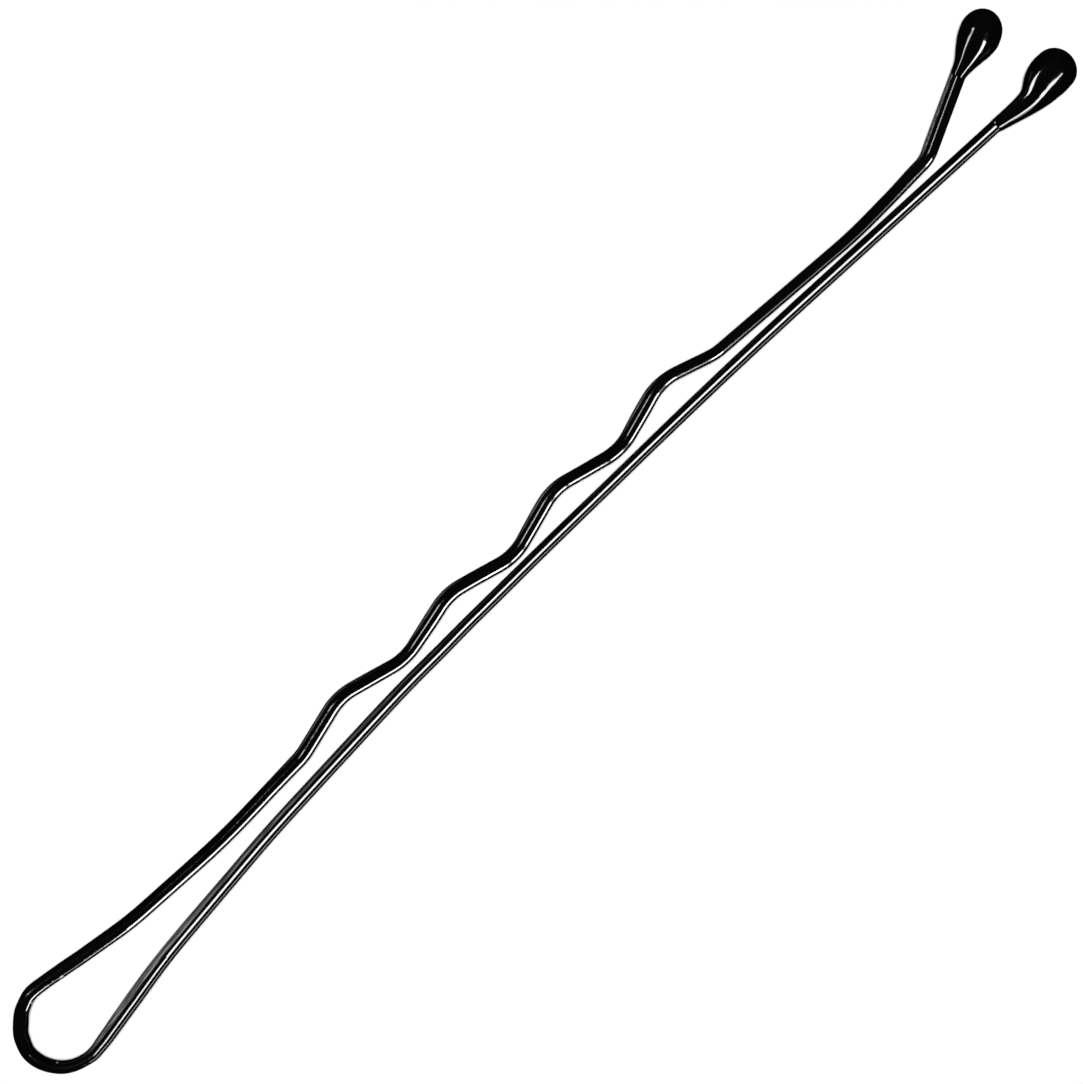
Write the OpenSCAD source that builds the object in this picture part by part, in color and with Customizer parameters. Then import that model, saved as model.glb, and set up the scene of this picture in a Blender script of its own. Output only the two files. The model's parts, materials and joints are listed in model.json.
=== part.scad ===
// Bobby pin: a flattened spring wire folded at a loop into a straight leg and a waved leg,
// with a resin bead on each end. The pin lies flat. The origin is the centre of the loop,
// +X runs along the pin to the tips, +Y from the straight leg to the waved leg, and +Z is up.
// The wire bends at eight thin knuckles, which stand for its springing along each leg.

/* [Wire] */
// Thickness of the flattened wire, in the plane of the pin
wire_t = 0.58; // [0.45:0.01:0.7]
// Width of the flattened wire, across the plane of the pin
wire_w = 1.4; // [1.2:0.05:1.6]

/* [Legs] */
// Inner radius of the loop
loop_r = 1.5; // [1.3:0.05:1.8]
// Distance from the loop's centre to the centre of the straight leg's bead
leg_l = 57; // [48:0.5:70]
// Height that the straight leg climbs from its first bend to its level stretch
bow_h = 1.72; // [1.5:0.02:1.9]
// Height of the straight leg's level stretch over the middle of the loop
level_y = 0.85; // [0.7:0.01:1]
// Clear gap between the corner points of the first trough and the straight leg
trough_gap = 0.18; // [0.1:0.01:0.3]
// Height of the crests over the straight leg, between their middle lines
crest_h = 1.6; // [1.3:0.05:1.8]
// Bend radius at the crests and troughs
wave_r = 2.7; // [1.5:0.1:3.5]

/* [Lead-in] */
// Angle of the flared end to the length of the pin
flare_angle = 26.6; // [15:0.2:35]
// Length of the flared end, from its bend to its bead's centre
flare_l = 5.8; // [4.5:0.1:8]
// Bend radius where the flared end starts
flare_r = 1.6; // [0.8:0.1:3]

/* [Beads] */
// Diameter of the straight leg's bead
straight_bead_d = 1.9; // [1.8:0.02:2.4]
// Diameter of the waved leg's bead
waved_bead_d = 1.78; // [1.76:0.02:2.4]
// Length of the straight leg's resin neck, from the bead's centre
straight_neck_l = 3.3; // [2:0.1:4]
// Length of the waved leg's resin neck, from the bead's centre
waved_neck_l = 2.1; // [1.8:0.1:3]

/* [Fits] */
// Clearance round each knuckle
knuckle_gap = 0.02; // [0.01:0.005:0.05]
// Clear gap between the legs where they grip
grip_gap = 0.03; // [0.02:0.01:0.2]

/* [Hidden] */
$fn = 48;

// Colour of the lacquer and of the resin
black = [0.02, 0.02, 0.02];

// Flat height of the wire between its rounded edges, and the radius of its middle line in the loop
flat_h = wire_w - wire_t;
bend_r = loop_r + wire_t / 2;

// How far a knuckle's cup is cut back from the hinge axis, so that its lip isn't a knife edge
lip_back = 0.35 * wire_t;
// How far a wire end goes past the centre of its bead, and the thinnest resin over the wire
wire_past = 0.1;
skin = 0.05;
slice_t = 0.02;
// How far a ball is drawn out towards its neck, and how large it is there beside its full size
ball_back = 0.3;
ball_back_share = 0.95;
// How far behind a bead's centre its throat lies, where the neck opens into the ball
throat_back = 1.45;
// Reach of each throat from the wire's middle line, on the inner and the outer side of the leg
straight_throat_in = wire_t / 2 + skin;
straight_throat_out = 0.42 * straight_bead_d;
waved_throat_in = wire_t / 2 + 2 * skin;
waved_throat_out = 0.36 * waved_bead_d;
// How far the waved leg's bead hangs from the wire's middle line, towards the mouth
bead_drop = 0.3;

// Corner points of each leg, where its straights would meet: x, y and bend radius.
// The straight leg bows away from the waved leg at the loop and then runs almost level.
tip_drop = 0.3;
straight_corners = [
    [0.087 * leg_l, level_y - bow_h, 30],
    [0.203 * leg_l, level_y - 0.552 * bow_h, 60],
    [0.352 * leg_l, level_y - 0.209 * bow_h, 60],
    [0.675 * leg_l, level_y, 100],
    [leg_l, level_y - tip_drop, 0]
];

// Height of the straight leg's middle line at x, past its first corner
function straight_y(x) = lookup(x, [for (c = straight_corners) [c[0], c[1]]]);

// Crests and troughs of the waved leg, taken from the straight leg so that they keep clear
wave_x = 0.309 * leg_l;
wave_pitch = 0.109 * leg_l;
crest_rise = [0.1, -0.12, -0.05, 0.02];
trough_rise = [0, -0.1, -0.02, 0.07];
trough_place = [0.5, 1.5, 2.5, 3.4];
function crest(i) = [
    wave_x + i * wave_pitch,
    straight_y(wave_x + i * wave_pitch) + crest_h + crest_rise[i],
    wave_r
];
function trough(i) = [
    wave_x + trough_place[i] * wave_pitch,
    straight_y(wave_x + trough_place[i] * wave_pitch) + wire_t + trough_gap + trough_rise[i],
    wave_r
];

// The grip point, where the waved leg lies on the straight leg, and the bend of the lead-in
grip_x = 0.812 * leg_l;
flare_x = 0.889 * leg_l;
flare_rise = 0.26;
flare_y = straight_y(flare_x) + wire_t + grip_gap + flare_rise;
waved_corners = [
    [0.087 * leg_l, 1.14, 15],
    [0.183 * leg_l, 1, 40],
    [0.261 * leg_l, 1.27, 3],
    crest(0), trough(0), crest(1), trough(1), crest(2), trough(2), crest(3), trough(3),
    [grip_x, straight_y(grip_x) + wire_t + grip_gap, 20],
    [flare_x, flare_y, flare_r],
    [flare_x + flare_l * cos(flare_angle), flare_y + flare_l * sin(flare_angle), 0]
];

// Where the line from a leg's first corner touches the loop's middle line: side is 1 above, -1 below
function loop_touch_angle(c, side) = atan2(c[1], c[0]) + side * acos(bend_r / norm([c[0], c[1]]));
function loop_touch(c, side) = [
    bend_r * cos(loop_touch_angle(c, side)),
    bend_r * sin(loop_touch_angle(c, side)),
    0
];
straight_path = concat([loop_touch(straight_corners[0], -1)], straight_corners);
waved_path = concat([loop_touch(waved_corners[0], 1)], waved_corners);

// Segment i of a path runs from point i to point i + 1
function flat_step(path, i) = [path[i + 1][0] - path[i][0], path[i + 1][1] - path[i][1]];
function heading(path, i) = atan2(flat_step(path, i)[1], flat_step(path, i)[0]);
function turn(path, i) = heading(path, i) - heading(path, i - 1);
function bend_reach(path, i) =
    i == 0 || i == len(path) - 1 ? 0 : path[i][2] * tan(abs(turn(path, i)) / 2);

// The straight part of segment i, as distances from its first point, and the hinge in its middle
function straight_from(path, i) = bend_reach(path, i);
function straight_to(path, i) = norm(flat_step(path, i)) - bend_reach(path, i + 1);
function hinge_at(path, i) = (straight_from(path, i) + straight_to(path, i)) / 2;

// The segments that hold each leg's hinges
straight_hinges = [0, 1, 2, 3];
waved_hinges = [0, 1, 4, 8];

// Places children at a distance along segment i, with +X along the wire
module along(path, i, distance) {
    translate([path[i][0], path[i][1], 0])
        rotate([0, 0, heading(path, i)])
            translate([distance, 0, 0])
                children();
}

// Section of the wire, with its thickness along X and its width along Y
module wire_section(extra = 0) {
    square([wire_t + 2 * extra, flat_h], center = true);
    for (side = [-1, 1])
        translate([0, side * flat_h / 2])
            circle(d = wire_t + 2 * extra);
}

// A straight piece of wire from the origin along +X
module bar(length, extra = 0) {
    rotate([90, 0, 90])
        linear_extrude(height = length)
            wire_section(extra);
}

// Stations along the wire, each with x, y, heading and the thickness there.
// A station at a distance along segment i:
function station(path, i, distance) = [
    path[i][0] + distance * cos(heading(path, i)),
    path[i][1] + distance * sin(heading(path, i)),
    heading(path, i),
    wire_t
];

// Stations round the bend at corner i, one for about every few degrees:
step_angle = 4;
function bend_steps(path, i) = max(2, ceil(abs(turn(path, i)) / step_angle));
function bend_stations(path, i) = let(
    side = sign(turn(path, i)),
    r = path[i][2],
    from = heading(path, i - 1),
    start = station(path, i, 0),
    cx = start[0] - bend_reach(path, i) * cos(from) - side * r * sin(from),
    cy = start[1] - bend_reach(path, i) * sin(from) + side * r * cos(from)
) [
    for (step = [0 : bend_steps(path, i)])
        let(h = from + turn(path, i) * step / bend_steps(path, i))
            [cx + side * r * sin(h), cy - side * r * cos(h), h, wire_t]
];

// Stations of the round end of a piece, whose axis is the hinge of segment i:
function knuckle_stations(path, i) = [
    for (angle = [80 : -20 : 20])
        let(at = station(path, i, hinge_at(path, i) - wire_t / 2 * sin(angle)))
            [at[0], at[1], at[2], wire_t * cos(angle)]
];

// Stations of a piece from the hinge in segment first to a distance along segment last:
function piece_stations(path, first, last, end) = concat(
    knuckle_stations(path, first),
    [station(path, first, hinge_at(path, first))],
    [for (i = [first + 1 : last]) each bend_stations(path, i)],
    [station(path, last, end)]
);

// Outline of the section at a station, round edge by round edge
edge_steps = 8;
ring_size = 2 * (edge_steps + 1);
function ring(at) = [
    for (side = [1, -1], step = [0 : edge_steps])
        let(
            angle = 180 * step / edge_steps + (side > 0 ? 0 : 180),
            y = at[3] / 2 * cos(angle),
            z = side * flat_h / 2 + at[3] / 2 * sin(angle)
        )
            [at[0] - y * sin(at[2]), at[1] + y * cos(at[2]), z]
];

// The wire as one solid through a list of stations
module sweep(stations) {
    last = len(stations) - 1;
    polyhedron(
        points = [for (at = stations) each ring(at)],
        faces = concat(
            [[for (k = [0 : ring_size - 1]) k]],
            [
                for (i = [0 : last - 1], k = [0 : ring_size - 1])
                    let(a = i * ring_size, b = a + ring_size, n = (k + 1) % ring_size)
                        [a + n, a + k, b + k, b + n]
            ],
            [[for (k = [ring_size - 1 : -1 : 0]) last * ring_size + k]]
        )
    );
}

// The space that a knuckle turns in, which hollows the end of the piece before it
module knuckle_space(path, i) {
    along(path, i, hinge_at(path, i))
        cylinder(r = wire_t / 2 + knuckle_gap, h = 2 * wire_w, center = true);
}

// A piece of a leg from the hinge in segment first to the hinge in segment last
module link(path, first, last) {
    difference() {
        sweep(piece_stations(path, first, last, hinge_at(path, last) - lip_back));
        knuckle_space(path, last);
    }
}

// The last piece of a leg, from the hinge in segment first to the cut wire end in the bead
module end_link(path, first) {
    last = len(path) - 2;
    sweep(piece_stations(path, first, last, straight_to(path, last) + wire_past));
}

// The round end of the fold with a cup on each leg's side
module loop_bend() {
    color(black) {
        from = loop_touch_angle(waved_corners[0], 1);
        to = 360 + loop_touch_angle(straight_corners[0], -1);
        difference() {
            union() {
                rotate([0, 0, from])
                    rotate_extrude(angle = to - from)
                        translate([bend_r, 0])
                            wire_section();
                for (path = [straight_path, waved_path])
                    along(path, 0, 0)
                        bar(hinge_at(path, 0) - lip_back);
            }
            knuckle_space(straight_path, 0);
            knuckle_space(waved_path, 0);
        }
    }
}

module straight_leg_shoulder() {
    color(black) link(straight_path, straight_hinges[0], straight_hinges[1]);
}

module straight_leg_back() {
    color(black) link(straight_path, straight_hinges[1], straight_hinges[2]);
}

module straight_leg_middle() {
    color(black) link(straight_path, straight_hinges[2], straight_hinges[3]);
}

module straight_leg_front() {
    color(black) end_link(straight_path, straight_hinges[3]);
}

module waved_leg_shoulder() {
    color(black) link(waved_path, waved_hinges[0], waved_hinges[1]);
}

module waved_leg_first_wave() {
    color(black) link(waved_path, waved_hinges[1], waved_hinges[2]);
}

module waved_leg_middle_waves() {
    color(black) link(waved_path, waved_hinges[2], waved_hinges[3]);
}

module waved_leg_grip() {
    color(black) end_link(waved_path, waved_hinges[3]);
}

// A slice across a bead's neck, from in_y on the inner side of the wire to out_y on its outer side
module neck_slice(at, in_y, out_y, height) {
    r = (in_y + out_y) / 2;
    for (side = [-1, 1])
        translate([at, in_y - r, side * (height / 2 - r)])
            rotate([0, 90, 0])
                cylinder(r = r, h = slice_t);
}

// A resin bead round a wire end. The neck starts as a skin on the wire at -neck_l, swells
// on its outer side up to a throat, and opens from there into the ball.
module bead(path, bead_d, neck_l, throat_in, throat_out, drop) {
    last = len(path) - 2;
    $fn = 32;
    along(path, last, norm(flat_step(path, last)))
        difference() {
            union() {
                hull() {
                    translate([-neck_l, 0, 0])
                        bar(slice_t, skin);
                    neck_slice(-throat_back, throat_in, throat_out, wire_w + 2 * skin);
                }
                hull() {
                    neck_slice(-throat_back, throat_in, throat_out, wire_w + 2 * skin);
                    translate([0, -drop, 0])
                        sphere(d = bead_d);
                    translate([-ball_back, -drop, 0])
                        sphere(d = ball_back_share * bead_d);
                }
            }
            translate([-neck_l - slice_t, 0, 0])
                bar(neck_l + slice_t + wire_past);
        }
}

module straight_leg_bead() {
    color(black)
        bead(straight_path, straight_bead_d, straight_neck_l, straight_throat_in, straight_throat_out, 0);
}

module waved_leg_bead() {
    color(black)
        bead(waved_path, waved_bead_d, waved_neck_l, waved_throat_in, waved_throat_out, bead_drop);
}

loop_bend();
straight_leg_shoulder();
straight_leg_back();
straight_leg_middle();
straight_leg_front();
straight_leg_bead();
waved_leg_shoulder();
waved_leg_first_wave();
waved_leg_middle_waves();
waved_leg_grip();
waved_leg_bead();
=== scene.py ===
# Bobby pin: a black lacquered spring wire folded at a loop, with a resin bead on each end.
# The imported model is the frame. Sizes here are in millimetres, and finished pieces are in metres.
import json
import math

import bmesh
import bpy
from mathutils import Matrix, Vector

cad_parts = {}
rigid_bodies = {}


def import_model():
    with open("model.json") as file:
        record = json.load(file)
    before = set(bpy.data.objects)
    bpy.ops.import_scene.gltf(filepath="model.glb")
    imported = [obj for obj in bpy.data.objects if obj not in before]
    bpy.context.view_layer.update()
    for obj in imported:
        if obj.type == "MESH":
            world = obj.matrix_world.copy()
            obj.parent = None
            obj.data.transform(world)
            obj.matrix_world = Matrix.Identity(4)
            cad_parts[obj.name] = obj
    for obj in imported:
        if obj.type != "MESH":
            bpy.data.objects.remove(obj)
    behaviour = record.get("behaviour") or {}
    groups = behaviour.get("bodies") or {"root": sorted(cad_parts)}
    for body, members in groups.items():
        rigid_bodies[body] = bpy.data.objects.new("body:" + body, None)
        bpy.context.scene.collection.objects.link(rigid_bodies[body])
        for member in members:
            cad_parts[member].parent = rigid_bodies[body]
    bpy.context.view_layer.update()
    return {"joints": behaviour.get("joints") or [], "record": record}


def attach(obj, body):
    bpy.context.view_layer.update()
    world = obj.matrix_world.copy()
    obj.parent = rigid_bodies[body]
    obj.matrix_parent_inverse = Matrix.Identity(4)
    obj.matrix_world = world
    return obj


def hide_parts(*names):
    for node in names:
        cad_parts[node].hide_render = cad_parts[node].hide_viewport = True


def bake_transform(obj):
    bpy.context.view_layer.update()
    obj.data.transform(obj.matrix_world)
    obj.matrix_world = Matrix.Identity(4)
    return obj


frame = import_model()
metre = 0.001
joints = {joint["name"]: joint for joint in frame["joints"]}


# Camera
# The pin is seen from straight above, turned so that it climbs to the upper right.
photoView = {
    "centre": (28.152, 0.939),   # point of the pin's plane in the middle of the picture
    "roll": -43.239,             # degrees from the pin's length to the picture's right
    "across": 44.917,            # mm of the pin's plane over the picture's long side
    "lens": 300,
    "sensor": 36,
}


def makeCamera():
    camera = bpy.data.objects.new("photoCamera", bpy.data.cameras.new("photoCamera"))
    bpy.context.scene.collection.objects.link(camera)
    camera.data.type = "PERSP"
    camera.data.lens = photoView["lens"]
    camera.data.sensor_width = photoView["sensor"]
    camera.data.clip_start = 0.01
    camera.data.clip_end = 20
    height = photoView["lens"] * photoView["across"] / photoView["sensor"]
    camera.location = Vector((*photoView["centre"], height)) * metre
    camera.rotation_euler = (0, 0, math.radians(photoView["roll"]))
    bpy.context.scene.camera = camera


makeCamera()
print("camera: ready")


# Materials
def nodeMaterial(name):
    material = bpy.data.materials.new(name)
    material.use_nodes = True
    return material, material.node_tree, material.node_tree.nodes["Principled BSDF"]


def addNode(tree, kind, **settings):
    node = tree.nodes.new(kind)
    for key, value in settings.items():
        setattr(node, key, value)
    return node


def noiseOn(tree, coordinates, scale, detail=3, stretch=(1, 1, 1), turn=0):
    mapping = addNode(tree, "ShaderNodeMapping", vector_type="TEXTURE")
    mapping.inputs["Scale"].default_value = stretch
    mapping.inputs["Rotation"].default_value = (0, 0, math.radians(turn))
    noise = addNode(tree, "ShaderNodeTexNoise")
    noise.inputs["Scale"].default_value = scale
    noise.inputs["Detail"].default_value = detail
    tree.links.new(coordinates, mapping.inputs["Vector"])
    tree.links.new(mapping.outputs["Vector"], noise.inputs["Vector"])
    return noise.outputs["Fac"]


def remapped(tree, value, low, high, fromLow=0.3, fromHigh=0.7):
    remap = addNode(tree, "ShaderNodeMapRange", clamp=True)
    remap.inputs["From Min"].default_value = fromLow
    remap.inputs["From Max"].default_value = fromHigh
    remap.inputs["To Min"].default_value = low
    remap.inputs["To Max"].default_value = high
    tree.links.new(value, remap.inputs["Value"])
    return remap.outputs["Result"]


def mixedColour(tree, share, first, second):
    mix = addNode(tree, "ShaderNodeMix", data_type="RGBA")
    mix.inputs["A"].default_value = (*first, 1)
    mix.inputs["B"].default_value = (*second, 1)
    tree.links.new(share, mix.inputs["Factor"])
    return mix.outputs["Result"]


def mathOn(tree, operation, first, second):
    node = addNode(tree, "ShaderNodeMath", operation=operation)
    for socket, value in zip(node.inputs, (first, second)):
        if isinstance(value, (int, float)):
            socket.default_value = value
        else:
            tree.links.new(value, socket)
    return node.outputs["Value"]


def blended(tree, share, first, second):
    mix = addNode(tree, "ShaderNodeMix", data_type="RGBA")
    tree.links.new(share, mix.inputs["Factor"])
    tree.links.new(first, mix.inputs["A"])
    mix.inputs["B"].default_value = (*second, 1)
    return mix.outputs["Result"]


def bumped(tree, shader, height, strength, distance):
    bump = addNode(tree, "ShaderNodeBump")
    bump.inputs["Strength"].default_value = strength
    bump.inputs["Distance"].default_value = distance
    tree.links.new(height, bump.inputs["Height"])
    tree.links.new(bump.outputs["Normal"], shader.inputs["Normal"])


# 1 inside a ragged spot round a point, and 0 outside. The ragged noise averages a half, so the reach
# of the spot before the noise takes its share is larger than its radius.
def chipAt(tree, place, ragged, centre, radius, reach):
    away = addNode(tree, "ShaderNodeVectorMath", operation="DISTANCE")
    away.inputs[1].default_value = Vector(centre) * metre
    tree.links.new(place, away.inputs[0])
    uneven = mathOn(tree, "MULTIPLY", ragged, radius * reach * metre)
    edge = mathOn(tree, "ADD", away.outputs["Value"], uneven)
    return mathOn(tree, "LESS_THAN", edge, radius * reach * metre)


def blackLacquer():
    look = {
        "deep": (0.0010, 0.0008, 0.0009),
        "thin": (0.0034, 0.0028, 0.0027),
        "gloss": (0.05, 0.12),        # roughness of the best and the worst patches
        "ior": 1.6,
        "blotchScale": 420,
        "peelScale": 6500,
        "peelHeight": 0.0000016,
        "peelStrength": 1.0,
        "streakScale": 16000,           # fine grey lines along the wire, partly worn lacquer and partly a painted reflection of the white floor
        "streakStretch": (22, 1, 1),
        "streakTurn": 7.5,              # degrees from the pin's length to the streaked part of the leg
        "streakLow": 0.36,              # noise below this leaves the lacquer nearly black
        "streakHigh": 0.66,             # and above this the streak is fully grey, as bare steel and painted floor reflection
        # The streaks' grey is partly bare steel where the lacquer is worn and partly a painted reflection
        # of the white floor on the wire's sides; the chips use it too.
        "streakBase": 0.08,
        "steelAndFloorReflectionGrey": (0.60, 0.57, 0.57),
        "streakRoughness": 0.42,
        "raggedScale": 26000,
        "chipReach": 1.6,
        # Chips of the lacquer near the loop: centre and radius, in mm
        "chips": [((1.36, 1.44, 0.595), 0.09), ((1.24, 1.40, 0.50), 0.05), ((0.98, 1.55, 0.645), 0.035),
                  ((0.70, 1.55, 0.62), 0.035), ((0.60, 1.60, 0.65), 0.03), ((-0.29, 1.52, 0.55), 0.06),
                  ((-1.21, -1.03, 0.55), 0.05)],
    }
    material, tree, shader = nodeMaterial("black_lacquer")
    place = addNode(tree, "ShaderNodeTexCoord").outputs["Object"]
    blotches = noiseOn(tree, place, look["blotchScale"])
    peel = noiseOn(tree, place, look["peelScale"], 2)
    streakNoise = noiseOn(tree, place, look["streakScale"], 3, look["streakStretch"], look["streakTurn"])
    # The wire's attribute sets grey streaks on its sides: partly worn lacquer, partly a painted reflection
    # of the white floor, which the gloss doesn't mirror.
    wearAndFloorReflection = addNode(tree, "ShaderNodeAttribute", attribute_name="wearAndFloorReflection").outputs["Fac"]
    streakShare = remapped(tree, streakNoise, look["streakBase"], 1, look["streakLow"], look["streakHigh"])
    wearAndReflectionStreaks = mathOn(tree, "MULTIPLY", wearAndFloorReflection, streakShare)
    ragged = noiseOn(tree, place, look["raggedScale"], 1)
    chips = 0.0
    for centre, radius in look["chips"]:
        chip = chipAt(tree, place, ragged, centre, radius, look["chipReach"])
        chips = mathOn(tree, "MAXIMUM", chips, chip)
    chipsAndGreyStreaks = mathOn(tree, "MAXIMUM", wearAndReflectionStreaks, chips)
    coat = mixedColour(tree, blotches, look["deep"], look["thin"])
    tree.links.new(blended(tree, chipsAndGreyStreaks, coat, look["steelAndFloorReflectionGrey"]), shader.inputs["Base Color"])
    dulled = mathOn(tree, "MULTIPLY", chipsAndGreyStreaks, look["streakRoughness"])
    rough = mathOn(tree, "MAXIMUM", remapped(tree, blotches, *look["gloss"]), dulled)
    tree.links.new(rough, shader.inputs["Roughness"])
    shader.inputs["IOR"].default_value = look["ior"]
    bumped(tree, shader, peel, look["peelStrength"], look["peelHeight"])
    return material


def blackResin():
    look = {
        "deep": (0.0010, 0.0008, 0.0010),
        "cloudy": (0.0030, 0.0026, 0.0026),
        "gloss": (0.05, 0.10),
        "ior": 1.55,
        "cloudScale": 900,
        "rippleScale": 1500,
        "rippleHeight": 0.000010,
        "rippleStrength": 0.5,
    }
    material, tree, shader = nodeMaterial("black_resin")
    place = addNode(tree, "ShaderNodeTexCoord").outputs["Object"]
    clouds = noiseOn(tree, place, look["cloudScale"])
    ripples = noiseOn(tree, place, look["rippleScale"], 1)
    tree.links.new(mixedColour(tree, clouds, look["deep"], look["cloudy"]), shader.inputs["Base Color"])
    tree.links.new(remapped(tree, clouds, *look["gloss"]), shader.inputs["Roughness"])
    shader.inputs["IOR"].default_value = look["ior"]
    bumped(tree, shader, ripples, look["rippleStrength"], look["rippleHeight"])
    return material


lacquer = blackLacquer()
resin = blackResin()
print("materials: lacquer and resin")


# The route of the wire
wire = {
    "thick": 0.58,         # across the legs, in the plane of the pin
    "wide": 1.4,           # up from the table
    "loopRadius": 1.5,     # inside the loop
    "legLength": 57,       # from the loop's centre to the centre of the straight leg's bead
    "edgeSides": 18,       # faces round each rounded edge
    "bendStep": 1.2,       # degrees between rings round a bend
    "runStep": 0.12,       # mm between rings along a straight stretch
    "pastBead": 0.1,       # how far the cut ends go past their beads' centres
    "rightGreyFrom": (0.86, 0.98),    # how far out the right side's grey begins and is full: a painted reflection of the white floor on the rim, broken into streaks
}

straightLeg = {
    "levelY": 0.85,        # height of the level stretch over the loop's middle
    "bowHeight": 1.72,     # climb from the first bend to the level stretch
    "tipDrop": 0.3,
    # Bends of the bow: place as a share of the leg's length, depth under the level stretch as a share
    # of the bow's height, and bend radius
    "bowBends": [(0.087, 1, 30), (0.203, 0.552, 60), (0.352, 0.209, 60), (0.675, 0, 100)],
    "leftGreyFrom": (0.62, 0.80),    # how far out from the middle the left side's grey begins and is full: worn lacquer and a painted reflection of the white floor on the leaning flat side
    # How the real wire strays from an even one, at distances from the loop's crown. A row holds the
    # distance, the shift to the left and the thickness in mm, how far the wire leans to the right in
    # degrees, and how grey its left and right sides are: partly worn lacquer, partly a painted reflection
    # of the white floor.
    "strays": [
        (0.0, -0.050, 0.55, 0, 0, 0),
        (1.3, -0.010, 0.51, 0, 0, 0),
        (2.4, 0.020, 0.495, 0.5, 0.02, 0),
        (3.0, -0.006, 0.52, 3.5, 0.3, 0.1),
        (3.8, -0.020, 0.55, 6.5, 0.75, 0.3),
        (4.8, -0.010, 0.55, 8.5, 0.9, 0.5),
        (5.9, -0.006, 0.55, 10.0, 1, 0.7),
        (9.0, -0.014, 0.53, 8.5, 0.9, 0.8),
        (13.0, -0.032, 0.54, 6.0, 0.7, 0.8),
        (20.0, -0.024, 0.525, 5.4, 0.4, 0.8),
        (24.5, -0.024, 0.515, 4.2, 0.12, 0.5),
        (27.0, 0.012, 0.515, 2.6, 0.06, 0.3),
        (31.0, 0.024, 0.515, 1.4, 0, 0.15),
        (36.0, 0.0, 0.515, 0, 0, 0.05),
        (41.5, -0.030, 0.52, 0.8, 0, 0.05),
        (46.0, 0.0, 0.525, 1.5, 0, 0.05),
        (60.1, 0.0, 0.525, 1.8, 0, 0.05),
    ],
}

wavedLeg = {
    # Bends before the waves: place as a share of the leg's length, height and bend radius
    "firstBends": [(0.087, 1.14, 15), (0.183, 1, 40), (0.261, 1.27, 3)],
    "crestHeight": 1.6,    # between the middle lines of the legs at a crest
    "troughGap": 0.18,
    "gripGap": 0.03,
    "firstCrest": 0.309,   # as a share of the leg's length
    "pitch": 0.109,
    "waveBend": 2.7,
    "crestRise": (0.1, -0.12, -0.05, 0.02),
    "troughRise": (0, -0.1, -0.02, 0.07),
    "troughPlace": (0.5, 1.5, 2.5, 3.4),    # in pitches from the first crest
    "gripStart": 0.812,    # the grip runs between these shares of the leg's length
    "gripEnd": 0.889,
    "gripBend": 20,
    "flareRise": 0.26,
    "flareAngle": 26.6,
    "flareLength": 5.8,
    "flareBend": 1.6,
    # how far out from the middle the left side's grey begins and is full: worn lacquer and painted floor
    # reflection
    "leftGreyFrom": (0.86, 0.97),
    "strays": [
        (0.0, 0.050, 0.55, 0, 0, 0),
        (0.7, -0.010, 0.58, 0, 0, 0),
        (1.4, -0.070, 0.60, 0, 0, 0),
        (2.1, -0.030, 0.59, 1, 0.05, 0.05),
        (2.7, 0.026, 0.58, 2, 0, 0.3),
        (3.6, 0.040, 0.56, 2, 0, 0.35),
        (4.4, 0.030, 0.56, 3, 0, 0.2),
        (5.4, 0.006, 0.56, 3, 0, 0),
        (8.0, 0.0, 0.58, 3, 0, 0),
        (12.0, -0.008, 0.59, 3, 0, 0),
        (15.5, 0.012, 0.585, 3, 0, 0),
        (18.3, 0.0, 0.605, 4.5, 0.25, 0),
        (19.6, 0.0, 0.60, 5, 0.45, 0),
        (21.3, 0.006, 0.56, 4, 0.1, 0.1),
        (23.6, 0.0, 0.56, 2, 0, 0.15),
        (25.9, -0.014, 0.595, 5, 0.5, 0),
        (28.2, 0.0, 0.58, 3, 0, 0.15),
        (30.0, -0.016, 0.59, 2, 0, 0.15),
        (32.2, 0.0, 0.59, 5, 0.5, 0),
        (34.4, -0.026, 0.555, 2, 0, 0.15),
        (36.2, -0.016, 0.565, 2, 0, 0.1),
        (38.4, 0.008, 0.60, 5, 0.5, 0),
        (40.4, 0.020, 0.54, 1, 0, 0),
        (43.0, 0.010, 0.525, 0, 0, 0),
        (48.5, 0.006, 0.525, 0.5, 0, 0),
        (52.0, 0.0, 0.54, 1, 0, 0),
        (53.6, 0.030, 0.55, 3, 0.05, 0),
        (54.8, 0.045, 0.58, 5, 0.7, 0),
        (60.1, 0.025, 0.585, 5, 0.5, 0),
    ],
}


def straightCorners():
    length, level, bow = wire["legLength"], straightLeg["levelY"], straightLeg["bowHeight"]
    bends = straightLeg["bowBends"]
    corners = [(place * length, level - depth * bow, bend) for place, depth, bend in bends]
    return corners + [(length, level - straightLeg["tipDrop"], 0)]


def straightLegY(x):
    corners = straightCorners()
    for (xa, ya, _), (xb, yb, _) in zip(corners, corners[1:]):
        if x <= xb:
            return ya + (yb - ya) * (x - xa) / (xb - xa)
    return corners[-1][1]


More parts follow.
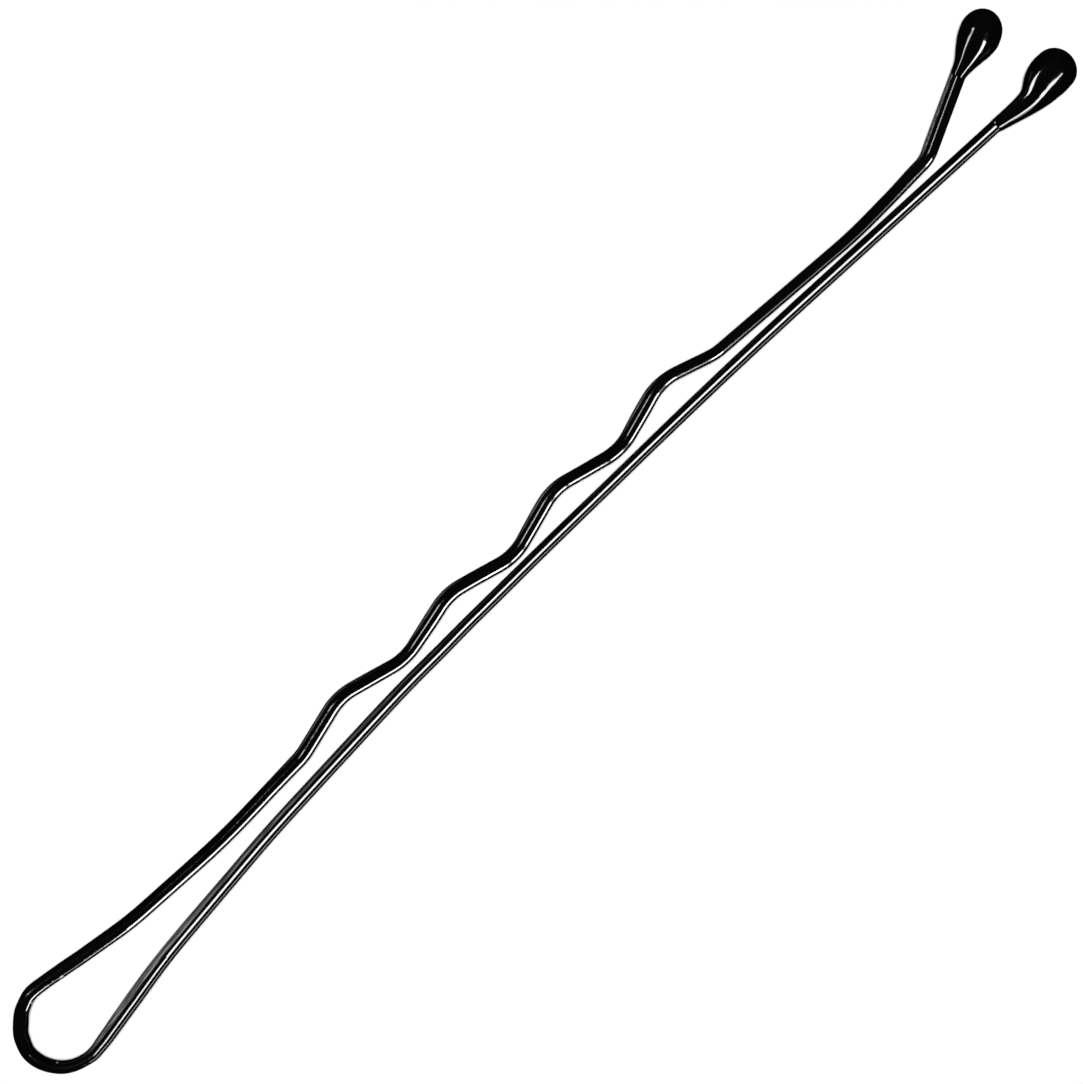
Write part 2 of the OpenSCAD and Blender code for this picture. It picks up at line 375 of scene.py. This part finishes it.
def wavedCorners():
    length = wire["legLength"]
    corners = [(place * length, height, bend) for place, height, bend in wavedLeg["firstBends"]]
    clear = wire["thick"] + wavedLeg["troughGap"]
    for i, place in enumerate(wavedLeg["troughPlace"]):
        crestX = (wavedLeg["firstCrest"] + i * wavedLeg["pitch"]) * length
        troughX = (wavedLeg["firstCrest"] + place * wavedLeg["pitch"]) * length
        crestY = straightLegY(crestX) + wavedLeg["crestHeight"] + wavedLeg["crestRise"][i]
        troughY = straightLegY(troughX) + clear + wavedLeg["troughRise"][i]
        corners += [(crestX, crestY, wavedLeg["waveBend"]), (troughX, troughY, wavedLeg["waveBend"])]
    gripX, flareX = wavedLeg["gripStart"] * length, wavedLeg["gripEnd"] * length
    touching = wire["thick"] + wavedLeg["gripGap"]
    flareY = straightLegY(flareX) + touching + wavedLeg["flareRise"]
    flare = math.radians(wavedLeg["flareAngle"])
    tipX = flareX + wavedLeg["flareLength"] * math.cos(flare)
    tipY = flareY + wavedLeg["flareLength"] * math.sin(flare)
    return corners + [
        (gripX, straightLegY(gripX) + touching, wavedLeg["gripBend"]),
        (flareX, flareY, wavedLeg["flareBend"]),
        (tipX, tipY, 0),
    ]


def flat(angle):
    return Vector((math.cos(angle), math.sin(angle), 0))


# A route is a list of bends and runs from the loop's crown to the wire's end.
# side is 1 for the waved leg and -1 for the straight one.
def wireRoute(corners, side):
    loopR = wire["loopRadius"] + wire["thick"] / 2
    first = Vector((*corners[0][:2], 0))
    touch = math.atan2(first.y, first.x) + side * math.acos(loopR / first.length)
    turn = touch - side * math.pi
    route = [{"centre": Vector((0, 0, 0)), "radius": loopR, "angle": turn,
              "heading": math.pi / 2 * side, "length": abs(turn) * loopR, "from": Vector((-loopR, 0, 0))}]
    points = [flat(touch) * loopR] + [Vector((x, y, 0)) for x, y, _ in corners]
    bends = [0] + [bend for _, _, bend in corners]
    steps = [b - a for a, b in zip(points, points[1:])]
    headings = [math.atan2(step.y, step.x) for step in steps]
    turns = [0] + [b - a for a, b in zip(headings, headings[1:])] + [0]
    reaches = [bend * math.tan(abs(turn) / 2) for bend, turn in zip(bends, turns)]
    for i, (step, heading) in enumerate(zip(steps, headings)):
        route.append({"angle": 0, "heading": heading, "from": points[i] + flat(heading) * reaches[i],
                      "length": step.length - reaches[i] - reaches[i + 1]})
        if turns[i + 1]:
            bendSide = math.copysign(1, turns[i + 1])
            start = points[i + 1] - flat(heading) * reaches[i + 1]
            centre = start + flat(heading + bendSide * math.pi / 2) * bends[i + 1]
            route.append({"centre": centre, "radius": bends[i + 1], "angle": turns[i + 1],
                          "heading": heading, "length": bends[i + 1] * abs(turns[i + 1]), "from": start})
    route[-1]["length"] += wire["pastBead"]
    return route


def routeLength(route):
    return sum(part["length"] for part in route)


# Point and heading at a distance along a route
def placeOn(route, distance):
    for part in route:
        if distance <= part["length"] or part is route[-1]:
            share = distance / part["length"]
            if part["angle"]:
                spun = Matrix.Rotation(part["angle"] * share, 3, "Z")
                point = part["centre"] + spun @ (part["from"] - part["centre"])
                return point, part["heading"] + part["angle"] * share
            return part["from"] + flat(part["heading"]) * distance, part["heading"]
        distance -= part["length"]


# Distance along a route to the point nearest to a place, on its straight runs
def distanceTo(route, place):
    travelled = 0
    nearest = None
    for part in route:
        if not part["angle"]:
            along = flat(part["heading"]).dot(place - part["from"])
            held = min(max(along, 0), part["length"])
            gap = (part["from"] + flat(part["heading"]) * held - place).length
            if nearest is None or gap < nearest[0]:
                nearest = (gap, travelled + held)
        travelled += part["length"]
    return nearest[1]


# The wire
def smoothStep(value, low, high):
    share = min(max((value - low) / (high - low), 0), 1)
    return share * share * (3 - 2 * share)


def strayAt(leg, distance):
    rows = leg["strays"]
    for low, high in zip(rows, rows[1:]):
        if distance <= high[0]:
            break
    share = smoothStep(distance, low[0], high[0])
    return [a + (b - a) * share for a, b in zip(low[1:], high[1:])]


# From a ring round the X axis, of an even wire, to its place on the route
def stationMatrix(route, leg, distance):
    point, heading = placeOn(route, distance)
    shift, thick, lean, _, _ = strayAt(leg, distance)
    turned = Matrix.Rotation(heading, 4, "Z") @ Matrix.Translation((0, shift, 0))
    leant = Matrix.Rotation(math.radians(lean), 4, "X")
    return Matrix.Translation(point) @ turned @ leant @ Matrix.Scale(thick / wire["thick"], 4, (0, 1, 0))


# Outline of the flattened wire as a closed ring, with the wire's length along X
def sectionRing(bm):
    radius = wire["thick"] / 2
    rise = (wire["wide"] - wire["thick"]) / 2
    start = bm.verts.new((0, radius, rise))
    over = bmesh.ops.spin(bm, geom=[start], cent=(0, 0, rise), axis=(1, 0, 0), angle=math.pi,
                          steps=wire["edgeSides"])
    turned = [v for v in over["geom_last"] if isinstance(v, bmesh.types.BMVert)]
    lowered = bmesh.ops.extrude_vert_indiv(bm, verts=turned)["verts"]
    bmesh.ops.translate(bm, verts=lowered, vec=(0, 0, -2 * rise))
    under = bmesh.ops.spin(bm, geom=lowered, cent=(0, 0, -rise), axis=(1, 0, 0), angle=math.pi,
                           steps=wire["edgeSides"])
    last = [v for v in under["geom_last"] if isinstance(v, bmesh.types.BMVert)]
    bm.edges.new((last[0], start))
    return list(bm.verts), list(bm.edges)


def closeEnd(bm, edges):
    bmesh.ops.contextual_create(bm, geom=edges)
    for edge in edges:
        edge.smooth = False


def stationsOf(route, start, end):
    stations = [start]
    travelled = 0
    for part in route:
        low, high = max(start, travelled), min(end, travelled + part["length"])
        if high - low > 1e-6:
            if part["angle"]:
                angle = math.degrees(part["angle"]) * (high - low) / part["length"]
                steps = max(1, math.ceil(abs(angle) / wire["bendStep"]))
            else:
                steps = max(1, math.ceil((high - low) / wire["runStep"]))
            stations += [low + (high - low) * (i + 1) / steps for i in range(steps)]
        travelled += part["length"]
    return stations


# How much grey each corner of a ring gets, partly worn lacquer and partly a painted reflection of the white
# floor: the left share on the left side, and the right share on the right
def markWearAndReflection(verts, layer, place, leg, distance):
    _, _, _, leftGrey, rightGrey = strayAt(leg, distance)
    back = place.inverted()
    for v in verts:
        side = (back @ v.co).y / wire["thick"] * 2
        left = leftGrey * smoothStep(side, *leg["leftGreyFrom"])
        v[layer] = left + rightGrey * smoothStep(-side, *wire["rightGreyFrom"])


# The wire as one closed shell between two distances along a route
def layWire(route, start, end, leg):
    bm = bmesh.new()
    # This layer holds each corner's share of grey streak: worn lacquer and painted floor reflection.
    layer = bm.verts.layers.float.new("wearAndFloorReflection")
    verts, edges = sectionRing(bm)
    place = stationMatrix(route, leg, start)
    bmesh.ops.transform(bm, verts=verts, matrix=place)
    markWearAndReflection(verts, layer, place, leg, start)
    closeEnd(bm, edges)
    for distance in stationsOf(route, start, end)[1:]:
        pulled = bmesh.ops.extrude_edge_only(bm, edges=edges)["geom"]
        verts = [v for v in pulled if isinstance(v, bmesh.types.BMVert)]
        edges = [e for e in pulled if isinstance(e, bmesh.types.BMEdge)]
        nextPlace = stationMatrix(route, leg, distance)
        bmesh.ops.transform(bm, verts=verts, matrix=nextPlace @ place.inverted())
        place = nextPlace
        markWearAndReflection(verts, layer, place, leg, distance)
    closeEnd(bm, edges)
    return bm


def finishPiece(bm, name, material):
    bmesh.ops.scale(bm, verts=bm.verts, vec=(metre, metre, metre))
    bmesh.ops.recalc_face_normals(bm, faces=bm.faces)
    for face in bm.faces:
        face.smooth = True
    mesh = bpy.data.meshes.new(name)
    bm.to_mesh(mesh)
    bm.free()
    piece = bpy.data.objects.new(name, mesh)
    bpy.context.scene.collection.objects.link(piece)
    mesh.materials.append(material)
    return piece


# One piece of wire for each flexing joint, from the middle of the stretch before the joint to the
# middle of the stretch after it, so that the pieces meet where the wire is stiff
def makeLegWire(prefix, corners, side, jointNames, leg):
    route = wireRoute(corners, side)
    hinges = []
    pieces = []
    for jointName in jointNames:
        hinges.append(distanceTo(route, Vector(joints[jointName]["pos_m"]) / metre))
    seams = [0] + [(a + b) / 2 for a, b in zip(hinges, hinges[1:])] + [routeLength(route)]
    for i, jointName in enumerate(jointNames):
        joint = joints[jointName]
        bm = layWire(route, seams[i], seams[i + 1], leg)
        piece = finishPiece(bm, f"{prefix}_wire_{i + 1}", lacquer)
        reach = min(hinges[i] - max(seams[i], route[0]["length"]), seams[i + 1] - hinges[i])
        start = placeOn(route, hinges[i] - reach)[0] * metre
        end = placeOn(route, hinges[i] + reach)[0] * metre
        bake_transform(piece)
        spanned = [node for body in (joint["parent"], joint["child"])
                   for node in frame["record"]["behaviour"]["bodies"][body] if "bead" not in node]
        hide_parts(*spanned)
        pieces.append(piece)
    return route, pieces


straightJoints = ["straight_leg_first_flex", "straight_leg_second_flex", "straight_leg_third_flex",
                  "straight_leg_fourth_flex"]
wavedJoints = ["legs_open", "waved_leg_second_flex", "waved_leg_third_flex", "waved_leg_fourth_flex"]
straightRoute, straightWires = makeLegWire("straight_leg", straightCorners(), -1, straightJoints,
                                           straightLeg)
wavedRoute, wavedWires = makeLegWire("waved_leg", wavedCorners(), 1, wavedJoints, wavedLeg)
print("wire: straight leg", round(routeLength(straightRoute), 2), "mm, waved leg",
      round(routeLength(wavedRoute), 2), "mm from the crown of the loop")


# The beads
# A bead's outline is given at stations along its wire: distance from the ball's centre, reach on the
# inner side of the leg, reach on the outer side, and half its height.
straightBead = {
    "radius": 0.945,
    "outline": [
        (-3.36, 0.262, 0.262, 0.705),
        (-3.29, 0.285, 0.305, 0.725),
        (-2.70, 0.285, 0.46, 0.74),
        (-2.07, 0.30, 0.625, 0.78),
        (-1.60, 0.36, 0.735, 0.82),
        (-1.40, 0.46, 0.775, 0.84),
        (-1.20, 0.62, 0.81, 0.86),
        (-0.95, 0.78, 0.845, 0.89),
        (-0.60, 0.92, 0.865, 0.92),
        (-0.25, 0.985, 0.885, 0.94),
        (0.10, 0.985, 0.855, 0.945),
    ],
    "outerSide": -1,         # the straight leg's outer side is towards -Y
}

wavedBead = {
    "radius": 0.905,
    "outline": [
        (-2.20, 0.285, 0.29, 0.705),
        (-2.12, 0.30, 0.33, 0.725),
        (-1.86, 0.40, 0.34, 0.75),
        (-1.50, 0.59, 0.38, 0.80),
        (-1.20, 0.76, 0.46, 0.83),
        (-0.90, 0.94, 0.54, 0.86),
        (-0.45, 1.11, 0.635, 0.88),
        (-0.10, 1.13, 0.645, 0.88),
    ],
    "outerSide": 1,
}


# Reaches at a distance, smoothly between the stations of the outline
def outlineAt(outline, distance):
    for i in range(len(outline) - 1):
        if distance <= outline[i + 1][0]:
            break
    before, low, high = outline[max(i - 1, 0)], outline[i], outline[i + 1]
    after = outline[min(i + 2, len(outline) - 1)]
    span = high[0] - low[0]
    share = min(max((distance - low[0]) / span, 0), 1)
    reaches = []
    for k in (1, 2, 3):
        slopeLow = (high[k] - before[k]) / (high[0] - before[0]) * span
        slopeHigh = (after[k] - low[k]) / (after[0] - low[0]) * span
        square, cube = share * share, share ** 3
        reaches.append((2 * cube - 3 * square + 1) * low[k] + (cube - 2 * square + share) * slopeLow
                       + (3 * square - 2 * cube) * high[k] + (cube - square) * slopeHigh)
    return reaches


beadMesh = {"sides": 64, "neckRings": 56, "ballRings": 24, "neckFlatness": 3.4}


# Shapes a circle of radius 1 to the bead's section, which is round at the ball and flat-sided at the neck
def shapeRing(verts, distance, inner, outer, high, flatness, outerSide):
    for v in verts:
        angle = math.atan2(v.co.z, v.co.y)
        y = math.copysign(abs(math.cos(angle)) ** (2 / flatness), math.cos(angle))
        z = math.copysign(abs(math.sin(angle)) ** (2 / flatness), math.sin(angle))
        middle = (outer - inner) / 2 * outerSide
        v.co = (distance, middle + y * (inner + outer) / 2, z * high)


def makeBead(name, bead, route, body, node):
    outline, side = bead["outline"], bead["outerSide"]
    bm = bmesh.new()
    first = outline[0][0]
    last = outline[-1][0]
    rings = beadMesh["neckRings"]
    distances = [first + (last - first) * i / rings for i in range(rings + 1)]
    rounding = bead["radius"]
    tips = [last + (rounding - last) * math.sin(math.pi / 2 * i / beadMesh["ballRings"])
            for i in range(1, beadMesh["ballRings"])]
    inner, outer, high = outlineAt(outline, last)
    edges = []
    for distance in distances + tips:
        circle = bmesh.ops.create_circle(bm, segments=beadMesh["sides"], radius=1,
                                         matrix=Matrix.Rotation(math.pi / 2, 4, "Y"))["verts"]
        roundness = smoothStep(distance, first, last)
        flatness = beadMesh["neckFlatness"] + (2 - beadMesh["neckFlatness"]) * roundness
        if distance <= last:
            shapeRing(circle, distance, *outlineAt(outline, distance), flatness, side)
        else:
            share = math.sqrt(1 - ((distance - last) / (rounding - last)) ** 2)
            middle = (outer - inner) / 2
            half = (outer + inner) / 2 * share
            shapeRing(circle, distance, half - middle, half + middle, high * share, 2, side)
        edges.append({e for v in circle for e in v.link_edges})
    for one, other in zip(edges, edges[1:]):
        bmesh.ops.bridge_loops(bm, edges=list(one | other))
    bmesh.ops.contextual_create(bm, geom=list(edges[0]))
    bmesh.ops.contextual_create(bm, geom=list(edges[-1]))
    point, heading = placeOn(route, routeLength(route) - wire["pastBead"])
    bmesh.ops.transform(bm, verts=bm.verts,
                        matrix=Matrix.Translation(point) @ Matrix.Rotation(heading, 4, "Z"))
    piece = finishPiece(bm, name, resin)
    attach(piece, body)
    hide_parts(node)
    return piece


straightBall = makeBead("straight_bead", straightBead, straightRoute, "straight_leg_front",
                        "straight_leg_bead")
wavedBall = makeBead("waved_bead", wavedBead, wavedRoute, "waved_leg_grip", "waved_leg_bead")
print("beads: two")


# Floor
floorShape = {
    "level": -0.95,        # the straight leg's bead is the lowest thing, and rests on the floor
    "flatRadius": 2500,
    "rimRadius": 4000,
    "rimHeight": 600,
    "colour": (1, 1, 1),
}


def makeFloor():
    bm = bmesh.new()
    bmesh.ops.create_circle(bm, cap_ends=True, segments=96, radius=floorShape["flatRadius"])
    rimEdges = [edge for edge in bm.edges if edge.is_boundary]
    rim = bmesh.ops.extrude_edge_only(bm, edges=rimEdges)["geom"]
    rimVerts = [v for v in rim if isinstance(v, bmesh.types.BMVert)]
    grow = floorShape["rimRadius"] / floorShape["flatRadius"]
    bmesh.ops.scale(bm, verts=rimVerts, vec=(grow, grow, 1))
    bmesh.ops.translate(bm, verts=rimVerts, vec=(0, 0, floorShape["rimHeight"]))
    centre = Vector((*photoView["centre"], floorShape["level"]))
    bmesh.ops.translate(bm, verts=bm.verts, vec=centre)
    bmesh.ops.scale(bm, verts=bm.verts, vec=(metre, metre, metre))
    mesh = bpy.data.meshes.new("white_floor")
    bm.to_mesh(mesh)
    bm.free()
    floor = bpy.data.objects.new("white_floor", mesh)
    bpy.context.scene.collection.objects.link(floor)
    material, tree, shader = nodeMaterial("white_floor")
    shader.inputs["Base Color"].default_value = (*floorShape["colour"], 1)
    shader.inputs["Roughness"].default_value = 1
    shader.inputs["Specular IOR Level"].default_value = 0
    mesh.materials.append(material)
    # The gloss doesn't mirror the floor; the floor's reflection on the wire's sides is painted into the
    # lacquer as grey streaks.
    floor.visible_glossy = False


makeFloor()
print("floor: ready")


# Lights
# A lamp straight above lights every surface at its own colour. The others are lamps that the gloss
# mirrors as lines of light, each for the pieces that it's there for. Places are in mm from the
# middle of the picture. Strips lie flat above the pin and face down.
strips = [
    {"name": "alongStraightLeg", "ends": ((-45, -8), (72, -8)), "height": 93, "wide": 60, "bright": 19,
     "lit": straightWires[1:]},
    {"name": "alongShoulder", "ends": ((-33, -24), (0, -24)), "height": 93, "wide": 44, "bright": 19,
     "lit": straightWires[:1]},
    {"name": "acrossWaves", "ends": ((-112, 386), (-225, 773)), "height": 1000, "wide": 54, "bright": 11,
     "lit": wavedWires},
    {"name": "straightBeadRight", "ends": ((36, -64), (-60, -130)), "height": 93, "wide": 50, "bright": 20,
     "lit": [straightBall]},
    {"name": "straightBeadEdge", "ends": ((-10, -180), (-90, -420)), "height": 93, "wide": 26, "bright": 13,
     "lit": [straightBall]},
    {"name": "straightBeadLeft", "ends": ((6, 80), (-247, 188)), "height": 93, "wide": 70, "bright": 20,
     "lit": [straightBall]},
    {"name": "wavedBeadRight", "ends": ((60, -52), (-80, -122)), "height": 93, "wide": 38, "bright": 22,
     "lit": [wavedBall]},
    {"name": "wavedBeadLeft", "ends": ((-3, 103), (-110, 49)), "height": 93, "wide": 42, "bright": 12,
     "lit": [wavedBall]},
]

# Walls stand upright beside the straight leg and face the pin
walls = [
    {"name": "besideWaves", "ends": ((-90, -200), (96, -200)), "heights": (3, 125), "bright": 24,
     "lit": wavedWires[1:3]},
    {"name": "besideWavedShoulder", "ends": ((-65, -200), (57, -200)), "heights": (3, 80), "bright": 20,
     "lit": wavedWires[:1]},
    {"name": "besideGripLeft", "ends": ((-90, -200), (-51, -200)), "heights": (3, 125), "bright": 24,
     "lit": wavedWires[3:]},
    {"name": "besideLastButOneSlope", "ends": ((-40, -60), (-9.4, -60)), "heights": (1, 37), "bright": 24,
     "lit": wavedWires[3:]},
    {"name": "besideLastBends", "ends": ((-5.2, -60), (9.2, -60)), "heights": (1, 37), "bright": 24,
     "lit": wavedWires[3:]},
    {"name": "besideGripMiddle", "ends": ((-51, -200), (48, -200)), "heights": (3, 70), "bright": 5,
     "lit": wavedWires[3:]},
    {"name": "besideGripRight", "ends": ((48, -200), (96, -200)), "heights": (3, 125), "bright": 24,
     "lit": wavedWires[3:]},
    {"name": "besideShoulders", "ends": ((-90, -200), (60, -200)), "heights": (0, 34), "bright": 8,
     "lit": straightWires + wavedWires[:1]},
]


def makeLamp(lamp, length, wide, bright, lit):
    light = bpy.data.lights.new(lamp, "AREA")
    light.shape = "RECTANGLE"
    light.size = length * metre
    light.size_y = wide * metre
    light.energy = bright * math.pi * light.size * light.size_y
    holder = bpy.data.objects.new(lamp, light)
    holder.visible_camera = False
    holder.visible_diffuse = False
    bpy.context.scene.collection.objects.link(holder)
    receivers = bpy.data.collections.new(lamp + "Lit")
    for piece in lit:
        receivers.objects.link(piece)
    holder.light_linking.receiver_collection = receivers
    return holder


def makeLamps():
    middle = Vector((*photoView["centre"], 0))
    for strip in strips:
        start, end = (Vector((*point, strip["height"])) for point in strip["ends"])
        run = end - start
        holder = makeLamp(strip["name"], run.length, strip["wide"], strip["bright"], strip["lit"])
        holder.location = (middle + (start + end) / 2) * metre
        holder.rotation_euler = (0, 0, math.atan2(run.y, run.x))
    for wall in walls:
        low, high = wall["heights"]
        start, end = (Vector((*point, (low + high) / 2)) for point in wall["ends"])
        run = end - start
        holder = makeLamp(wall["name"], run.length, high - low, wall["bright"], wall["lit"])
        holder.location = (middle + (start + end) / 2) * metre
        holder.rotation_euler = (math.pi / 2, 0, math.atan2(run.y, run.x))


overhead = {"bright": 1, "spread": 6, "dark": (0.002, 0.002, 0.002)}


def makeOverhead():
    sun = bpy.data.lights.new("overheadLamp", "SUN")
    sun.energy = overhead["bright"] * math.pi
    sun.angle = math.radians(overhead["spread"])
    holder = bpy.data.objects.new("overheadLamp", sun)
    holder.visible_glossy = False
    bpy.context.scene.collection.objects.link(holder)
    world = bpy.data.worlds.new("studioDark")
    world.use_nodes = True
    world.node_tree.nodes["Background"].inputs["Color"].default_value = (*overhead["dark"], 1)
    bpy.context.scene.world = world


makeLamps()
makeOverhead()
bpy.context.scene.view_settings.view_transform = "Standard"
print("lamps:", len(strips) + len(walls) + 1)
